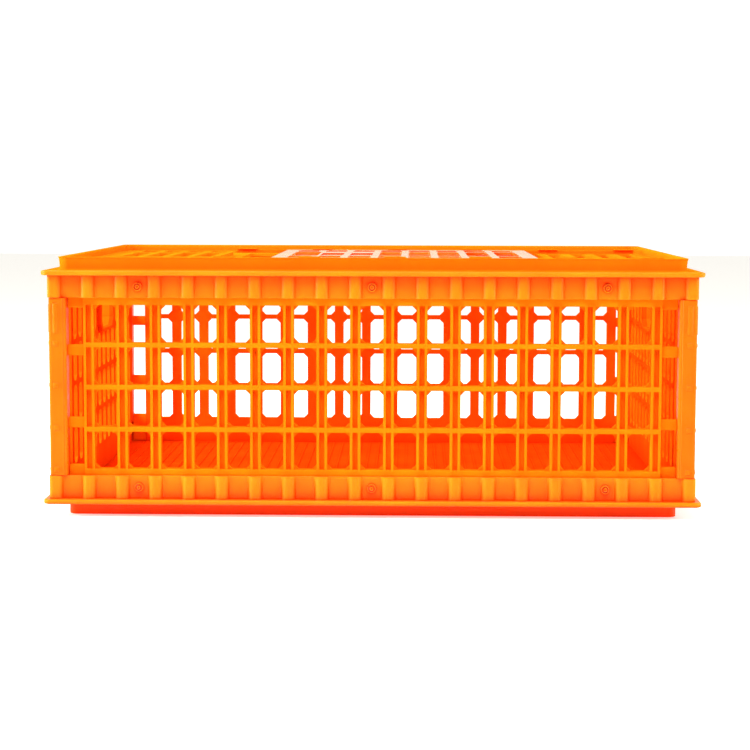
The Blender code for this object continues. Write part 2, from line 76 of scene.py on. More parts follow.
RIDGE_MARGIN = 24.0  # wall's face to the ends of the ridges
RIB_SEGMENTS = 6  # steps of each rounding
PLAN_SEGMENTS = 6
CORNER_SEGMENTS = 5
EDGE_SEGMENTS = 3
FINE_SEGMENTS = 2
TOUCH = 0.01  # points closer than this lie on the same plane
CUT_TOUCH = 0.001  # points this close to a cut lie on it
SHARP = 0.5  # radians between two faces, past which their edge is a corner
ALIGNED = 0.9  # cosine past which a direction lies along an axis
LEANING = 0.8  # the same for a corner that leans a little
LEAN_REACH = 2.0  # how far a leaning corner may lie from its plan
SQUARE = 0.1  # cosine below which a direction lies square to an axis
RIB_SHARE = 0.95  # share of a wall's height that an edge along a rib has at least


def half_plan(inset):
    """Half the length and half the width of an outline that lies this far in from the flange's edge."""
    return HALF_LENGTH - inset, HALF_WIDTH - inset


def block(bm, x, y, z):
    """A box between two values on each axis."""
    size = (x[1] - x[0], y[1] - y[0], z[1] - z[0])
    middle = (sum(x) / 2, sum(y) / 2, sum(z) / 2)
    bmesh.ops.create_cube(bm, size=1.0, matrix=Matrix.Translation(middle) @ Matrix.Diagonal((*size, 1.0)))


def faces_where(bm, test):
    """The faces whose normal and middle pass the test."""
    return [face for face in bm.faces if test(face.normal, face.calc_center_median())]


def edges_where(bm, test):
    """The corner edges whose direction and middle pass the test."""
    found = []
    for edge in bm.edges:
        if not edge.is_manifold or edge.calc_face_angle() <= SHARP:
            continue
        start, end = (vert.co for vert in edge.verts)
        if test((end - start).normalized(), (start + end) / 2):
            found.append(edge)
    return found


def cut(bm, faces, axis, place):
    """A straight cut across these faces, where the axis has this value."""
    normal = Vector((0.0, 0.0, 0.0))
    normal[axis] = 1.0
    parts = list(faces)
    parts += [edge for face in faces for edge in face.edges]
    parts += [vert for face in faces for vert in face.verts]
    parts = list(dict.fromkeys(parts))
    bmesh.ops.bisect_plane(bm, geom=parts, dist=CUT_TOUCH, plane_co=normal * place, plane_no=normal)


def pull(bm, faces, moved):
    """Draws faces out of the piece as one region, or pushes them in, and returns them in their new place."""
    grown = bmesh.ops.extrude_face_region(bm, geom=faces)["geom"]
    bmesh.ops.delete(bm, geom=faces, context="FACES")
    for part in grown:
        if isinstance(part, bmesh.types.BMVert):
            part.co = moved(part.co)
    bm.normal_update()
    return [part for part in grown if isinstance(part, bmesh.types.BMFace)]


def inset(bm, faces, distance):
    """Sets faces in from their outline, and returns the ring of new faces round them."""
    return bmesh.ops.inset_region(bm, faces=faces, thickness=distance, use_even_offset=True)["faces"]


def outwards(distance, rise=0.0):
    """A move away from the middle in X and in Y by the same distance, and up."""

    def moved(point):
        side = Vector((math.copysign(1.0, point.x), math.copysign(1.0, point.y), 0.0))
        return point + side * distance + Vector((0.0, 0.0, rise))

    return moved


def to_height(z):
    """A move straight up or down to a height."""
    return lambda point: Vector((point.x, point.y, z))


def round_over(bm, edges, radius, segments):
    """Rounds edges off to a radius."""
    bmesh.ops.bevel(
        bm,
        geom=edges,
        offset=radius,
        offset_type="OFFSET",
        segments=segments,
        profile=0.5,
        affect="EDGES",
        clamp_overlap=True,
        material=-1,
    )


def round_corners(bm, half, low, high, radius, segments):
    """Rounds the four upright corners at this half length and half width."""

    def at_corner(along, middle):
        off = max(abs(abs(middle.x) - half[0]), abs(abs(middle.y) - half[1]))
        upright = abs(along.z) > LEANING and low - TOUCH < middle.z < high + TOUCH
        return upright and off < LEAN_REACH

    round_over(bm, edges_where(bm, at_corner), radius, segments)


def side_faces(bm, across, wall, low, high):
    """The faces of a plain wall on two opposite sides, between two heights."""

    def on_side(normal, middle):
        in_plane = abs(normal[across]) > ALIGNED and abs(abs(middle[across]) - wall) < TOUCH
        return in_plane and low < middle.z < high

    return faces_where(bm, on_side)


def raise_ribs(bm, low, high):
    """Draws the ribs out of a plain wall's four sides and rounds their flanks."""
    wall_x, wall_y = half_plan(WALL_IN)
    sides = ((0, SIDE_PITCH, SIDE_BAYS, wall_y), (1, END_PITCH, END_BAYS, wall_x))
    ribs = []
    for along, pitch, bays, wall in sides:
        for rib in range(bays + 1):
            middle = (rib - bays / 2) * pitch
            for place in (middle - RIB_WIDTH / 2, middle + RIB_WIDTH / 2):
                cut(bm, side_faces(bm, 1 - along, wall, low, high), along, place)
        for face in side_faces(bm, 1 - along, wall, low, high):
            place = face.calc_center_median()[along] / pitch + bays / 2
            if abs(place - round(place)) * pitch < RIB_WIDTH / 2:
                ribs.append(face)

    def drawn_out(point):
        moved = point.copy()
        for along, pitch, bays, wall in sides:
            across = 1 - along
            if abs(abs(point[across]) - wall) > TOUCH:
                continue
            moved[across] += math.copysign(RIB_PROUD, point[across])
            offset = point[along] - (round(point[along] / pitch + bays / 2) - bays / 2) * pitch
            if abs(abs(offset) - RIB_WIDTH / 2) < TOUCH:
                moved[along] -= math.copysign(RIB_DRAFT, offset)
        return moved

    pull(bm, ribs, drawn_out)
    round_corners(bm, half_plan(WALL_IN - RIB_PROUD), low, high, CORNER_ROUND, CORNER_SEGMENTS)

    def flank(distance):
        """The edges along the ribs that lie this far out from the wall."""

        def test(along, middle):
            out = max(abs(middle.x) - wall_x, abs(middle.y) - wall_y)
            return abs(along.z) > ALIGNED and low < middle.z < high and abs(out - distance) < TOUCH

        shortest = (high - low) * RIB_SHARE
        return [edge for edge in edges_where(bm, test) if edge.calc_length() > shortest]

    round_over(bm, flank(RIB_PROUD), RIB_ROUND, RIB_SEGMENTS)
    round_over(bm, flank(0.0), RIB_ROOT, EDGE_SEGMENTS)


def wall_edge(height, outside):
    """Test for the edges along the open end of a ribbed wall, on its outer or its inner side."""
    wall_x, wall_y = half_plan(WALL_IN + TOUCH)

    def test(along, middle):
        outer = abs(middle.x) > wall_x or abs(middle.y) > wall_y
        return abs(middle.z - height) < TOUCH and abs(along.z) < SQUARE and outer == outside

    return test


def flange_edge(low, high):
    """Test for the flange's own upper and lower outer edges."""
    half_x, half_y = half_plan(FLANGE_CORNER)

    def test(along, middle):
        level = min(abs(middle.z - low), abs(middle.z - high)) < TOUCH
        outer = abs(middle.x) > HALF_LENGTH - TOUCH or abs(middle.y) > HALF_WIDTH - TOUCH
        in_corner = abs(middle.x) > half_x and abs(middle.y) > half_y
        return level and abs(along.z) < SQUARE and (outer or in_corner)

    return test


def linear(hex_colour):
    """Linear colour, with alpha, of an sRGB hex value."""
    channels = [int(hex_colour[i : i + 2], 16) / 255 for i in (1, 3, 5)]
    return (*[c / 12.92 if c <= 0.04045 else ((c + 0.055) / 1.055) ** 2.4 for c in channels], 1.0)


def node(tree, kind, settings, links):
    """Adds a node, sets its properties or input sockets, and links other inputs to outputs."""
    made = tree.nodes.new(kind)
    for name, value in settings.items():
        if isinstance(name, int) or name in made.inputs:
            made.inputs[name].default_value = value
        else:
            setattr(made, name, value)
    for name, source in links.items():
        tree.links.new(source, made.inputs[name])
    return made


CLOUD_SIZE = 70.0  # millimetres across the soft patches of lighter and deeper orange
PEEL_SIZE = 2.4  # across the shallow dimples that the mould's skin leaves
FLOW_SIZE = (5.0, 90.0)  # width and length of the flow marks, which run up the piece
FLOW_SHARE = 0.2  # strength of the flow marks against the soft patches
DRIFT_RANGE = (0.3, 0.9)  # values of the drift that give the deepest and the lightest orange
SCUFF_SIZE = 9.0
SCUFF_RANGE = (0.35, 0.75)  # values of the scuffs that give the least and the most roughness
PAINTED_SHADE_REACH = 30.0  # how far a neighbouring wall still darkens a corner with painted shade
PAINTED_SHADE_SAMPLES = 8
PAINTED_SHADE_RANGE = (0.45, 0.98)  # share of open sky at which the painted shade is full, and at which it ends
POLYETHYLENE_IOR = 1.54
GLOW_SHARE = 0.2  # light that enters the plastic and leaves it close by
GLOW_DEPTH = 2.5
GLOW_SPREAD = (1.0, 0.3, 0.08)  # red goes furthest in an orange plastic
SMOOTH_ANGLE = 38.0  # degrees between two faces, up to which they look like one curve


def moulded_polyethylene(name, colours, roughness, peel_depth, shine):
    """High-density polyethylene as it leaves a mould: saturated and waxy, with some light let in.

    The colours are those of deep patches, of light patches and of painted shade in corners, and the two
    values of roughness are those of clean and of scuffed places. Faint flow marks run up the piece. Corners
    and channels, which see little open sky, are painted deeper and redder: this is painted shade.
    """
    deep, light, painted_shade = (linear(colour) for colour in colours)
    made = bpy.data.materials.new(name)
    made.use_nodes = True
    tree = made.node_tree
    shader = tree.nodes["Principled BSDF"]
    place = node(tree, "ShaderNodeTexCoord", {}, {}).outputs["Object"]
    cloud_settings = {"Scale": 1 / (CLOUD_SIZE * MM), "Detail": 2.0}
    clouds = node(tree, "ShaderNodeTexNoise", cloud_settings, {"Vector": place})
    stretch = (1.0, 1.0, FLOW_SIZE[0] / FLOW_SIZE[1])
    drawn = node(tree, "ShaderNodeMapping", {"Scale": stretch}, {"Vector": place})
    flow_settings = {"Scale": 1 / (FLOW_SIZE[0] * MM), "Detail": 3.0}
    flow = node(tree, "ShaderNodeTexNoise", flow_settings, {"Vector": drawn.outputs["Vector"]})
    drift_links = {0: flow.outputs["Fac"], 2: clouds.outputs["Fac"]}
    drift = node(tree, "ShaderNodeMath", {"operation": "MULTIPLY_ADD", 1: FLOW_SHARE}, drift_links)
    drift_range = {"From Min": DRIFT_RANGE[0], "From Max": DRIFT_RANGE[1]}
    share = node(tree, "ShaderNodeMapRange", drift_range, {"Value": drift.outputs["Value"]})
    tint_settings = {"data_type": "RGBA", 6: deep, 7: light}
    tint = node(tree, "ShaderNodeMix", tint_settings, {0: share.outputs["Result"]})
    # Painted shade: where a point sees little open sky, as in corners, channels and bays and under the
    # flange, its colour is mixed towards the deeper, redder third colour.
    painted_shade_settings = {"Distance": PAINTED_SHADE_REACH * MM, "samples": PAINTED_SHADE_SAMPLES}
    shade_occlusion = node(tree, "ShaderNodeAmbientOcclusion", painted_shade_settings, {})
    shade_range = {"From Min": PAINTED_SHADE_RANGE[0], "From Max": PAINTED_SHADE_RANGE[1]}
    unshaded_share = node(tree, "ShaderNodeMapRange", shade_range, {"Value": shade_occlusion.outputs["AO"]})
    body_links = {0: unshaded_share.outputs["Result"], 7: tint.outputs[2]}
    colour = node(tree, "ShaderNodeMix", {"data_type": "RGBA", 6: painted_shade}, body_links)
    scuff_settings = {"Scale": 1 / (SCUFF_SIZE * MM), "Detail": 6.0, "Roughness": 0.7}
    scuffs = node(tree, "ShaderNodeTexNoise", scuff_settings, {"Vector": place})
    scuff_range = {"From Min": SCUFF_RANGE[0], "From Max": SCUFF_RANGE[1]}
    scuff_range |= {"To Min": roughness[0], "To Max": roughness[1]}
    dulled = node(tree, "ShaderNodeMapRange", scuff_range, {"Value": scuffs.outputs["Fac"]})
    peel_settings = {"Scale": 1 / (PEEL_SIZE * MM), "Detail": 1.0}
    peel = node(tree, "ShaderNodeTexNoise", peel_settings, {"Vector": place})
    bump_settings = {"Strength": 1.0, "Distance": peel_depth * MM}
    bump = node(tree, "ShaderNodeBump", bump_settings, {"Height": peel.outputs["Fac"]})
    tree.links.new(colour.outputs[2], shader.inputs["Base Color"])
    tree.links.new(dulled.outputs["Result"], shader.inputs["Roughness"])
    tree.links.new(bump.outputs["Normal"], shader.inputs["Normal"])
    shader.inputs["IOR"].default_value = POLYETHYLENE_IOR
    shader.inputs["Specular IOR Level"].default_value = shine
    shader.inputs["Subsurface Weight"].default_value = GLOW_SHARE
    shader.inputs["Subsurface Radius"].default_value = GLOW_SPREAD
    shader.inputs["Subsurface Scale"].default_value = GLOW_DEPTH * MM
    return made


def finished(name, bm, surfaces, slot, body, *cad_nodes):
    """Makes the piece of a mesh in millimetres, and lets it stand for its CAD nodes and ride on their body.

    Faces without area, which rounding leaves where two curves meet, are first joined to a neighbour.
    """
    slivers = [face for face in bm.faces if face.calc_area() < TOUCH**2]
    longest = {max(face.edges, key=lambda edge: edge.calc_length()) for face in slivers}
    bmesh.ops.dissolve_edges(bm, edges=list(longest))
    bmesh.ops.scale(bm, vec=(MM, MM, MM), verts=bm.verts)
    mesh = bpy.data.meshes.new(name)
    bm.to_mesh(mesh)
    bm.free()
    for surface in surfaces:
        mesh.materials.append(surface)
    mesh.shade_smooth()
    mesh.set_sharp_from_angle(angle=math.radians(SMOOTH_ANGLE))
    piece = bpy.data.objects.new(name, mesh)
    bpy.context.scene.collection.objects.link(piece)
    flat_faces = piece.modifiers.new("flat_faces", "WEIGHTED_NORMAL")
    flat_faces.keep_sharp = True
    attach(piece, body)
    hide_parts(*cad_nodes)


tray = bmesh.new()
wall_x, wall_y = half_plan(WALL_IN)
block(tray, (-HALF_LENGTH, HALF_LENGTH), (-HALF_WIDTH, HALF_WIDTH), (SKIRT_HEIGHT, FLOOR_TOP))
floor_face = faces_where(tray, lambda normal, middle: normal.z > ALIGNED)
inset(tray, floor_face, WALL_IN)
floor_face = pull(tray, floor_face, to_height(BASE_WALL_TOP))
inset(tray, floor_face, WALL)
pull(tray, floor_face, to_height(FLOOR_TOP))
underside = faces_where(tray, lambda normal, middle: normal.z < -ALIGNED)
inset(tray, underside, SKIRT_INSET)
pull(tray, underside, to_height(0.0))
round_corners(tray, half_plan(SKIRT_INSET), 0.0, SKIRT_HEIGHT, SKIRT_CORNER, PLAN_SEGMENTS)
underside = faces_where(tray, lambda normal, middle: normal.z < -ALIGNED and middle.z < TOUCH)
inset(tray, underside, SKIRT_WALL)
pull(tray, underside, to_height(SKIRT_HEIGHT))
raise_ribs(tray, FLOOR_TOP, BASE_WALL_TOP)
round_corners(tray, half_plan(0.0), SKIRT_HEIGHT, FLOOR_TOP, FLANGE_CORNER, PLAN_SEGMENTS)
round_over(tray, edges_where(tray, flange_edge(SKIRT_HEIGHT, FLOOR_TOP)), FLANGE_ROUND, EDGE_SEGMENTS)
skirt_foot = edges_where(tray, lambda along, middle: middle.z < TOUCH)
round_over(tray, skirt_foot, SKIRT_FOOT_ROUND, FINE_SEGMENTS)
round_over(tray, edges_where(tray, wall_edge(BASE_WALL_TOP, True)), RIB_TIP, EDGE_SEGMENTS)
round_over(tray, edges_where(tray, wall_edge(BASE_WALL_TOP, False)), INNER_EDGE_ROUND, FINE_SEGMENTS)


def on_floor(normal, middle):
    """Test for the faces of the floor that a bird stands on."""
    return normal.z > ALIGNED and abs(middle.z - FLOOR_TOP) < TOUCH and abs(middle.y) < wall_y - WALL


ridges = SIDE_BAYS * RIDGES_PER_BAY
ridge_pitch = SIDE_PITCH / RIDGES_PER_BAY
for ridge in range(-(ridges // 2), ridges // 2 + 1):
    for side in (-0.5, 0.5):
        place = ridge * ridge_pitch + side * RIDGE_WIDTH
        if abs(place) < wall_x - RIDGE_MARGIN:
            cut(tray, faces_where(tray, on_floor), 0, place)
for side in (-1, 1):
    cut(tray, faces_where(tray, on_floor), 1, side * (wall_y - RIDGE_MARGIN))


def on_ridge(normal, middle):
    """Test for the strips of the floor that stand up as ridges."""
    off = abs(middle.x / ridge_pitch - round(middle.x / ridge_pitch)) * ridge_pitch
    inside = abs(middle.x) < wall_x - RIDGE_MARGIN and abs(middle.y) < wall_y - RIDGE_MARGIN
    return on_floor(normal, middle) and inside and off < TOUCH


pull(tray, faces_where(tray, on_ridge), to_height(FLOOR_TOP + RIDGE_HEIGHT))


def in_floor(normal, middle):
    """Test for the floor and its ridges, which have a dull finish and a painted shade of their own."""
    return FLOOR_TOP - TOUCH < middle.z < FLOOR_TOP + RIDGE_HEIGHT + TOUCH and abs(middle.y) < wall_y - WALL


for face in faces_where(tray, in_floor):
    face.material_index = 1 if abs(face.calc_center_median().x) < wall_x - WALL else 0
# A smooth mould leaves the wall and flange a faint, waxy shine.
base_plastic = moulded_polyethylene(
    "base_moulded_polyethylene",
    colours=("#F46A08", "#FF7E0A", "#E84404"),
    roughness=(0.3, 0.46),
    peel_depth=0.05,
    shine=0.06,
)
# Claws and washing have worn the floor dull, so it shows no highlight. Its deeper, redder colour is painted
# shade, the shade of the crate's dim inside.
shaded_floor_plastic = moulded_polyethylene(
    "worn_floor_painted_shade_polyethylene",
    colours=("#E84604", "#F45606", "#E43C02"),
    roughness=(0.75, 0.9),
    peel_depth=0.12,
    shine=0.0,
)
finished("base_tray_moulding", tray, (base_plastic, shaded_floor_plastic), "frame_plastic", "crate", "base_tray")


# Corner posts: four hollow square tubes moulded in the same plastic. They sit on spigots of the base and of
# the top frame, stand a little behind the corner ribs, and carry low bosses and a low strip on their faces.
POST_IN = 7.8  # flange edge to the post's face
POST_SIZE = 20.0
POST_WALL = 3.0
POST_ROUND = 2.6
POST_END_ROUND = 0.6
POST_LOW = 47.3
POST_HIGH = 250.2
BOSSES = ((54.0, 6.4), (102.0, 6.4), (150.5, 6.4), (198.5, 6.4), (227.0, 34.0))  # height and length of each
BOSS_IN = 8.0  # post's outer corner to the middle of a boss
BOSS_WIDTH = 6.4
BOSS_STEPS = ((1.0, 0.8), (1.1, 0.5))  # width and rise of the slopes round a boss
STEP_IN = 16.0  # post's outer corner to the low strip along its inner edge
STEP_DEPTH = 0.9
POST_SEGMENTS = 4
POSTS = (  # name, and the side of the crate in X and Y
    ("left_front", -1, -1),
    ("right_front", 1, -1),
    ("left_rear", -1, 1),
    ("right_rear", 1, 1),
)


def at_post_end(height):
    """Test for the lower and the upper end of a post."""
    return min(abs(height - POST_LOW), abs(height - POST_HIGH)) < TOUCH


# The posts come from a mould of their own and look a shade deeper than the base.
post_plastic = moulded_polyethylene(
    "post_moulded_polyethylene",
    colours=("#EC5A06", "#F66A08", "#E04002"),
    roughness=(0.26, 0.42),
    peel_depth=0.05,
    shine=0.04,
)
for name, sx, sy in POSTS:
    post = bmesh.new()
    outer_x, outer_y = half_plan(POST_IN)
    x = sorted((sx * outer_x, sx * (outer_x - POST_SIZE)))
    y = sorted((sy * outer_y, sy * (outer_y - POST_SIZE)))
    block(post, x, y, (POST_LOW, POST_HIGH))
    for across, sign, outer, other in ((0, sx, outer_x, sy * outer_y), (1, sy, outer_y, sx * outer_x)):
        along = 1 - across
        boss = other - math.copysign(BOSS_IN, other)

        def on_face(normal, middle):
            return sign * normal[across] > ALIGNED and abs(sign * middle[across] - outer) < TOUCH

        for height, length in BOSSES:
            for side in (-0.5, 0.5):
                cut(post, faces_where(post, on_face), 2, height + side * length)
        for side in (-0.5, 0.5):
            cut(post, faces_where(post, on_face), along, boss + side * BOSS_WIDTH)

        def on_boss(normal, middle):
            level = min(abs(middle.z - height) for height, length in BOSSES) < TOUCH
            return on_face(normal, middle) and level and abs(middle[along] - boss) < TOUCH

        bosses = faces_where(post, on_boss)
        for place in (STEP_IN, STEP_IN + STEP_DEPTH):
            cut(post, faces_where(post, on_face), along, other - math.copysign(place, other))
        face_verts = {vert for face in faces_where(post, on_face) for vert in face.verts}
        for vert in face_verts:
            if abs(vert.co[along] - other) > STEP_IN + TOUCH:
                vert.co[across] -= sign * STEP_DEPTH
        for width, rise in BOSS_STEPS:
            bmesh.ops.inset_individual(post, faces=bosses, thickness=width, depth=rise, use_even_offset=True)
        post.normal_update()
    ends = faces_where(post, lambda normal, middle: abs(normal.z) > ALIGNED and at_post_end(middle.z))
    bmesh.ops.inset_individual(post, faces=ends, thickness=POST_WALL, use_even_offset=True)
    for face in ends:
        height = face.calc_center_median().z
        pull(post, [face], to_height(height + math.copysign(POST_SIZE, (POST_LOW + POST_HIGH) / 2 - height)))

    def outer_upright(along, middle):
        off_x = min(abs(middle.x - value) for value in x)
        off_y = min(abs(middle.y - value) for value in y)
        return abs(along.z) > ALIGNED and off_x < STEP_DEPTH + TOUCH and off_y < STEP_DEPTH + TOUCH

    round_over(post, edges_where(post, outer_upright), POST_ROUND, POST_SEGMENTS)
    post_ends = edges_where(post, lambda along, middle: at_post_end(middle.z))
    round_over(post, post_ends, POST_END_ROUND, FINE_SEGMENTS)
    finished(f"{name}_post_tube", post, (post_plastic,), "post_plastic", "crate", f"{name}_post")


# Long grille panels: two open mouldings, front and rear. Four rows of openings lie between channel-section
# uprights, whose two thin ribs stand in front of a web. Gussets fill the openings' corners, and tongues at
# both ends seat in the posts, which leaves the ladder-like gap beside each post.
FIT = 0.3  # clearance between pieces that seat on each other
PANEL_IN = 15.8  # flange edge to the panel's outer face
PANEL_THICKNESS = 12.0
INSIDE_IN = PANEL_IN + PANEL_THICKNESS
TOP_WALL_LOW = 250.5
TOP_FLANGE_LOW = 276.0
ROWS = 4
ROW_PITCH = 48.3
FIRST_ROW = 54.2  # height of the lower edge of the lowest row
OPENING_HEIGHT = 42.8
UPRIGHT_WIDTH = 12.0
CHANNEL_WIDTH = 6.0
CHANNEL_DEPTH = 8.0
GUSSET = 5.5  # along both sides of an opening's corner
GUSSET_WEB = 8.0  # thickness, from the panel's inner face
FRONT_ROUND = 0.95
RUNG_ROUND = 1.4
TONGUE_FRONT = 4.7  # behind the panel's outer face
TONGUE_BACK = 8.2
TONGUE_HEIGHT = 13.0
TONGUE_SPREAD = 41.5  # from the middle of the grille to the middle of a tongue
TONGUE_INTO_POST = 2.7
STRIP_HEIGHT = 12.0  # how far the panel's plain edges show past the frames beside the grille
INNER_SIDE = 10.5  # behind the outer face, where the dull finish and the painted shade start


def cut_sheet(bm, columns, rows, height):
    """A sheet that faces up at this height, cut along lines in X and Y."""
    middle = ((columns[0] + columns[-1]) / 2, (rows[0] + rows[-1]) / 2, height)
    half = ((columns[-1] - columns[0]) / 2, (rows[-1] - rows[0]) / 2, 1.0)
    place = Matrix.Translation(middle) @ Matrix.Diagonal((*half, 1.0))
    bmesh.ops.create_grid(bm, x_segments=1, y_segments=1, size=1.0, matrix=place)
    for axis, lines in enumerate((columns, rows)):
        for line in lines[1:-1]:
            cut(bm, bm.faces[:], axis, line)


def trim_corner(bm, face, corner, reach):
    """Cuts a corner off a lying face, this far along both of its sides, and returns the rest of the face."""
    past = corner - face.calc_center_median()
    past = Vector((math.copysign(1.0, past.x), math.copysign(1.0, past.y), 0.0))
    parts = [face, *face.edges, *face.verts]
    through = corner - past * reach / 2
    slant = past.normalized()
    halves = bmesh.ops.bisect_plane(bm, geom=parts, dist=CUT_TOUCH, plane_co=through, plane_no=slant)["geom"]
    pieces = [part for part in halves if isinstance(part, bmesh.types.BMFace)]
    return max(pieces, key=lambda piece: piece.calc_area())


def row_of(height):
    """The row of openings that a height lies in, or None in a bar."""
    row = math.floor((height - FIRST_ROW) / ROW_PITCH)
    inside = 0 <= row < ROWS and height - FIRST_ROW - row * ROW_PITCH < OPENING_HEIGHT
    return row if inside else None


def grille(pitch, columns, half_length, hold_columns, hold_corner):
    """A panel lying face up: X runs along it, Y is its height and Z points outwards from its outer face."""
    bm = bmesh.new()
    low = FLOOR_TOP + FIT
    high = TOP_FLANGE_LOW - FIT
    half_grid = columns / 2 * pitch + UPRIGHT_WIDTH / 2
    half_hold = hold_columns / 2 * pitch - UPRIGHT_WIDTH / 2
    uprights = [(i - columns / 2) * pitch for i in range(columns + 1)]
    steps = (-UPRIGHT_WIDTH / 2, -CHANNEL_WIDTH / 2, CHANNEL_WIDTH / 2, UPRIGHT_WIDTH / 2)
    across = [x + step for x in uprights for step in steps]
    edges = [FIRST_ROW + row * ROW_PITCH + edge for row in range(ROWS) for edge in (0.0, OPENING_HEIGHT)]

    def from_upright(x):
        return min(abs(x - upright) for upright in uprights)

    def in_hold(point):
        return row_of(point.y) == ROWS - 1 and abs(point.x) < half_hold

    def is_open(point):
        return row_of(point.y) is not None and (from_upright(point.x) > UPRIGHT_WIDTH / 2 or in_hold(point))

    web_face = GUSSET_WEB - PANEL_THICKNESS
    cut_sheet(bm, across, [low, *edges, high], web_face)
    opened = []
    for face in [face for face in bm.faces if is_open(face.calc_center_median())]:
        held = in_hold(face.calc_center_median())
        for corner in [vert.co.copy() for vert in face.verts]:
            if not held:
                face = trim_corner(bm, face, corner, GUSSET)
            elif abs(abs(corner.x) - half_hold) < TOUCH:
                face = trim_corner(bm, face, corner, hold_corner)
        opened.append(face)
    bmesh.ops.delete(bm, geom=opened, context="FACES")
    hold_corners = [face for face in bm.faces if in_hold(face.calc_center_median())]
    seams = {edge for face in hold_corners for edge in face.edges if edge.is_manifold}
    bmesh.ops.dissolve_edges(bm, edges=list(seams))
    bmesh.ops.solidify(bm, geom=bm.faces[:], thickness=GUSSET_WEB)
    bm.normal_update()

    def before_web(normal, middle):
        return normal.z > ALIGNED and (in_hold(middle) or not is_open(middle))

    pull(bm, faces_where(bm, before_web), to_height(0.0))
    tongue_middles = [(BASE_WALL_TOP + TOP_WALL_LOW) / 2 + side * TONGUE_SPREAD for side in (-1, 1)]
    tongues = [(z - TONGUE_HEIGHT / 2, z + TONGUE_HEIGHT / 2, TONGUE_INTO_POST) for z in tongue_middles]
    tongues.append((low + FIT, BASE_WALL_TOP + STRIP_HEIGHT, -FIT))
    tongues.append((TOP_WALL_LOW - STRIP_HEIGHT, high - FIT, -FIT))

    def on_end(normal, middle):
        return abs(normal.x) > ALIGNED and abs(abs(middle.x) - half_grid) < TOUCH

    for start, end, reach in tongues:
        for place in (start, end):
            cut(bm, faces_where(bm, on_end), 1, place)
    for place in (-TONGUE_FRONT, -TONGUE_BACK):
        cut(bm, faces_where(bm, on_end), 2, place)
    for start, end, reach in tongues:
        roots = [
            face
            for face in faces_where(bm, on_end)
            if start < face.calc_center_median().y < end
            and -TONGUE_BACK < face.calc_center_median().z < -TONGUE_FRONT
        ]
        tip = half_length + reach
        pull(bm, roots, lambda point, tip=tip: Vector((math.copysign(tip, point.x), point.y, point.z)))

    def in_channel(normal, middle):
        narrow = from_upright(middle.x) < CHANNEL_WIDTH / 2 and row_of(middle.y) is not None
        return normal.z > ALIGNED and abs(middle.z) < TOUCH and narrow

    channels = bmesh.ops.extrude_discrete_faces(bm, faces=faces_where(bm, in_channel))["faces"]
    for face in channels:
        bmesh.ops.translate(bm, verts=face.verts, vec=(0.0, 0.0, -CHANNEL_DEPTH))
    round_over(bm, edges_where(bm, lambda along, middle: middle.z > -TOUCH), FRONT_ROUND, FINE_SEGMENTS)

    def on_rung(along, middle):
        return abs(middle.x) > half_grid + TOUCH and abs(along.x) > ALIGNED

    round_over(bm, edges_where(bm, on_rung), RUNG_ROUND, EDGE_SEGMENTS)
    return bm


def stand_up(bm, x, y, turn):
    """Sets a lying panel upright in its place, with its outer face turned from the front by an angle."""
    upright = Matrix.Rotation(math.radians(turn), 4, "Z") @ Matrix.Rotation(math.pi / 2, 4, "X")
    bmesh.ops.transform(bm, matrix=Matrix.Translation((x, y, 0.0)) @ upright, verts=bm.verts)


def mark_inner_side(bm):
    """Gives a panel's inner side its dull finish and its painted shade."""
    for face in bm.faces:
        face.material_index = 1 if face.calc_center_median().z < -INNER_SIDE else 0


# The thin bars let light through, so they look bright and even and show no highlight.
panel_plastic = moulded_polyethylene(
    "panel_moulded_polyethylene",
    colours=("#F46808", "#FF7C0A", "#F66A08"),
    roughness=(0.3, 0.46),
    peel_depth=0.04,
    shine=0.0,
)
# The inner side is rubbed dull. Its deeper, redder colour is painted shade and painted orange bounce light
# from the other walls of the crate's inside.
inner_shade_plastic = moulded_polyethylene(
    "dull_inner_painted_shade_polyethylene",
    colours=("#EC4E06", "#F66208", "#E43C02"),
    roughness=(0.7, 0.85),
    peel_depth=0.04,
    shine=0.0,
)
panel_surfaces = (panel_plastic, inner_shade_plastic)
panel_x, panel_y = half_plan(PANEL_IN)
inside_x, inside_y = half_plan(INSIDE_IN)
for name, y, turn in (("front", -panel_y, 0.0), ("rear", panel_y, 180.0)):
    panel = grille(SIDE_PITCH, SIDE_BAYS - 2, inside_x, 0, 0.0)
    mark_inner_side(panel)
    stand_up(panel, 0.0, y, turn)
    finished(f"{name}_grille_moulding", panel, panel_surfaces, "panel_plastic", "crate", f"{name}_panel")


# End grille panels: the shorter two, moulded and fixed like the long ones. The middle three columns of their
# top row are one opening, so that a hand can lift the crate, and a collar inside makes its edge thicker.
HOLD_COLUMNS = 3
HOLD_CORNER = 10.0
COLLAR_WALL = 4.0
COLLAR_REACH = 6.0  # inwards from the panel
COLLAR_ROUND = 1.2
CHAMFER_SEGMENTS = 1
OVERLAP = 1.0  # how far a joined shape reaches into its piece, and a cutter past it


def carved(bm, tool, operation):
    """The first shape joined to the second, or with the second cut away."""
    objects = []
    for part in (bm, tool):
        mesh = bpy.data.meshes.new("shape")
        part.to_mesh(mesh)
        part.free()
        objects.append(bpy.data.objects.new("shape", mesh))
        bpy.context.scene.collection.objects.link(objects[-1])
    joined = objects[0].modifiers.new("joined", "BOOLEAN")
    joined.operation = operation
    joined.solver = "EXACT"
    joined.object = objects[1]
    graph = bpy.context.evaluated_depsgraph_get()
    result = bmesh.new()
    result.from_mesh(objects[0].evaluated_get(graph).to_mesh())
    for done in objects:
        mesh = done.data
        bpy.data.objects.remove(done)
        bpy.data.meshes.remove(mesh)
    return result


def chamfered_block(half_x, y, z, corner):
    """A block on both sides of X = 0 with its four corners cut off, seen from Z."""
    bm = bmesh.new()
    block(bm, (-half_x, half_x), y, z)
    round_over(bm, edges_where(bm, lambda along, middle: abs(along.z) > ALIGNED), corner, CHAMFER_SEGMENTS)
    return bm


